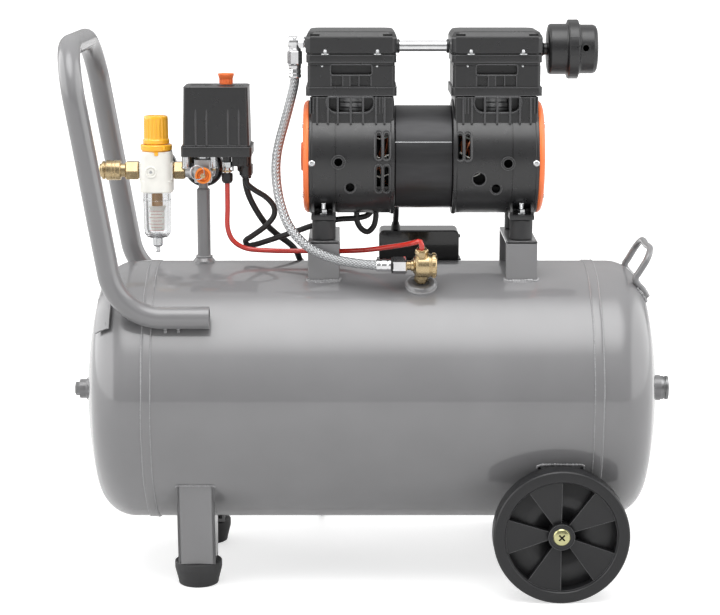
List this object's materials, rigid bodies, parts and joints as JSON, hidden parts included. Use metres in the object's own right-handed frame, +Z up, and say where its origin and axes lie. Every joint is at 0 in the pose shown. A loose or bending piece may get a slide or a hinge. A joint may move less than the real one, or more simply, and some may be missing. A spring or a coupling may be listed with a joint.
{
  "type": "air compressor",
  "caption": "Horizontal-tank air compressor with wheels, push handle, twin-cylinder motor pump, pressure switch, regulator with clear bowl and quick coupler",
  "frame": {"origin": "on the floor, under the middle of the machine without its mains cord", "axes": "+X along the tank towards the wheels, +Y to the back, +Z up"},
  "size_m": [0.7209, 0.5055, 0.6627],
  "materials": {
    "grey_paint": "semi-gloss powder coat",
    "black_plastic": "satin moulded",
    "gloss_black_plastic": "gloss moulded",
    "black_rubber": "matte",
    "orange_plastic": "satin moulded",
    "amber_plastic": "gloss moulded",
    "white_plastic": "satin moulded",
    "clear_plastic": "clear moulded",
    "red_plastic": "extruded tube",
    "brass": "machined",
    "zinc_plate": "bright zinc plated",
    "braided_steel": "stainless braid",
    "dark_steel": "blackened laminations",
    "aluminium": "cast and machined"
  },
  "bodies": {
    "machine": {"tank_barrel": "grey_paint", "tank_end_left": "grey_paint", "tank_end_right": "grey_paint", "end_plug_right": "zinc_plate", "handle_tube": "grey_paint", "lifting_handle": "grey_paint", "leg_front": "grey_paint", "foot_pad_front": "black_rubber", "wheel_bracket_front": "grey_paint", "leg_rear": "grey_paint", "foot_pad_rear": "black_rubber", "wheel_bracket_rear": "grey_paint", "drain_valve": "brass", "motor_bracket_left": "grey_paint", "rubber_mount_left_front": "black_rubber", "rubber_mount_left_rear": "black_rubber", "end_housing_left": "black_plastic", "end_cap_left": "orange_plastic", "cylinder_left": "black_plastic", "head_cover_left": "black_plastic", "motor_bracket_right": "grey_paint", "rubber_mount_right_front": "black_rubber", "rubber_mount_right_rear": "black_rubber", "end_housing_right": "black_plastic", "end_cap_right": "orange_plastic", "cylinder_right": "black_plastic", "head_cover_right": "black_plastic", "stator": "dark_steel", "crossover_pipe": "zinc_plate", "intake_filter": "black_plastic", "capacitor_box": "gloss_black_plastic", "manifold_block": "zinc_plate", "tank_gauge": "gloss_black_plastic", "switch_base": "black_plastic", "switch_cover": "black_plastic", "regulator_body": "white_plastic", "filter_bowl": "clear_plastic", "regulator_gauge": "gloss_black_plastic", "coupler_body": "brass", "check_valve": "brass", "delivery_hose": "braided_steel", "unloader_tube": "red_plastic", "motor_lead": "black_rubber", "mains_cord": "black_rubber", "mains_coil": "black_rubber", "mains_plug": "black_rubber"},
    "wheel_front": {"wheel_front": "black_plastic"},
    "wheel_rear": {"wheel_rear": "black_plastic"},
    "rotor_shaft": {"rotor_shaft": "dark_steel"},
    "piston_left": {"piston_left": "aluminium"},
    "piston_right": {"piston_right": "aluminium"},
    "switch_knob": {"switch_knob": "orange_plastic"},
    "regulator_spindle": {"regulator_spindle": "brass"},
    "regulator_knob": {"regulator_knob": "amber_plastic"},
    "safety_pull_ring": {"safety_pull_ring": "zinc_plate"},
    "coupler_sleeve": {"coupler_sleeve": "brass"},
    "bowl_drain": {"bowl_drain": "zinc_plate"},
    "drain_knob": {"drain_knob": "brass"},
    "tank_gauge_needle": {"tank_gauge_needle": "orange_plastic"},
    "regulator_gauge_needle": {"regulator_gauge_needle": "orange_plastic"}
  },
  "joints": [
    {"name": "wheel_front_spin", "type": "hinge", "parent": "machine", "child": "wheel_front", "pos_m": [0.218, -0.159, 0.079], "axis": [0, 1, 0], "continuous": true},
    {"name": "wheel_rear_spin", "type": "hinge", "parent": "machine", "child": "wheel_rear", "pos_m": [0.218, 0.159, 0.079], "axis": [0, 1, 0], "continuous": true},
    {"name": "rotor_spin", "type": "hinge", "parent": "machine", "child": "rotor_shaft", "pos_m": [0.0605, 0, 0.5005], "axis": [1, 0, 0], "continuous": true},
    {"name": "piston_left_stroke", "type": "slide", "parent": "machine", "child": "piston_left", "axis": [0, 0, 1], "range_m": [-0.006, 0.006]},
    {"name": "piston_right_stroke", "type": "slide", "parent": "machine", "child": "piston_right", "axis": [0, 0, 1], "range_m": [-0.006, 0.006]},
    {"name": "switch_knob_pull", "type": "slide", "parent": "machine", "child": "switch_knob", "axis": [0, 0, 1], "range_m": [0, 0.006]},
    {"name": "regulator_turn", "type": "hinge", "parent": "machine", "child": "regulator_spindle", "pos_m": [-0.257, 0, 0.515], "axis": [0, 0, 1], "range_deg": [-360, 360]},
    {"name": "regulator_lock", "type": "slide", "parent": "regulator_spindle", "child": "regulator_knob", "axis": [0, 0, 1], "range_m": [0, 0.005]},
    {"name": "safety_ring_pull", "type": "slide", "parent": "machine", "child": "safety_pull_ring", "axis": [0, -1, 0], "range_m": [0, 0.004], "stiffness_N_per_m": 1000},
    {"name": "coupler_sleeve_pull", "type": "slide", "parent": "machine", "child": "coupler_sleeve", "axis": [1, 0, 0], "range_m": [0, 0.004], "stiffness_N_per_m": 1000},
    {"name": "bowl_drain_turn", "type": "hinge", "parent": "machine", "child": "bowl_drain", "pos_m": [-0.257, 0, 0.397], "axis": [0, 0, 1], "range_deg": [0, 180]},
    {"name": "tank_drain_turn", "type": "hinge", "parent": "machine", "child": "drain_knob", "pos_m": [-0.2065, 0, 0.03], "axis": [0, 0, 1], "range_deg": [0, 270]},
    {"name": "tank_gauge_sweep", "type": "hinge", "parent": "machine", "child": "tank_gauge_needle", "pos_m": [-0.2035, 0.054, 0.483], "axis": [0, -1, 0], "range_deg": [0, 270], "stiffness_Nm_per_rad": 0.002},
    {"name": "regulator_gauge_sweep", "type": "hinge", "parent": "machine", "child": "regulator_gauge_needle", "pos_m": [-0.257, 0.039, 0.484], "axis": [0, -1, 0], "range_deg": [0, 270], "stiffness_Nm_per_rad": 0.002}
  ]
}
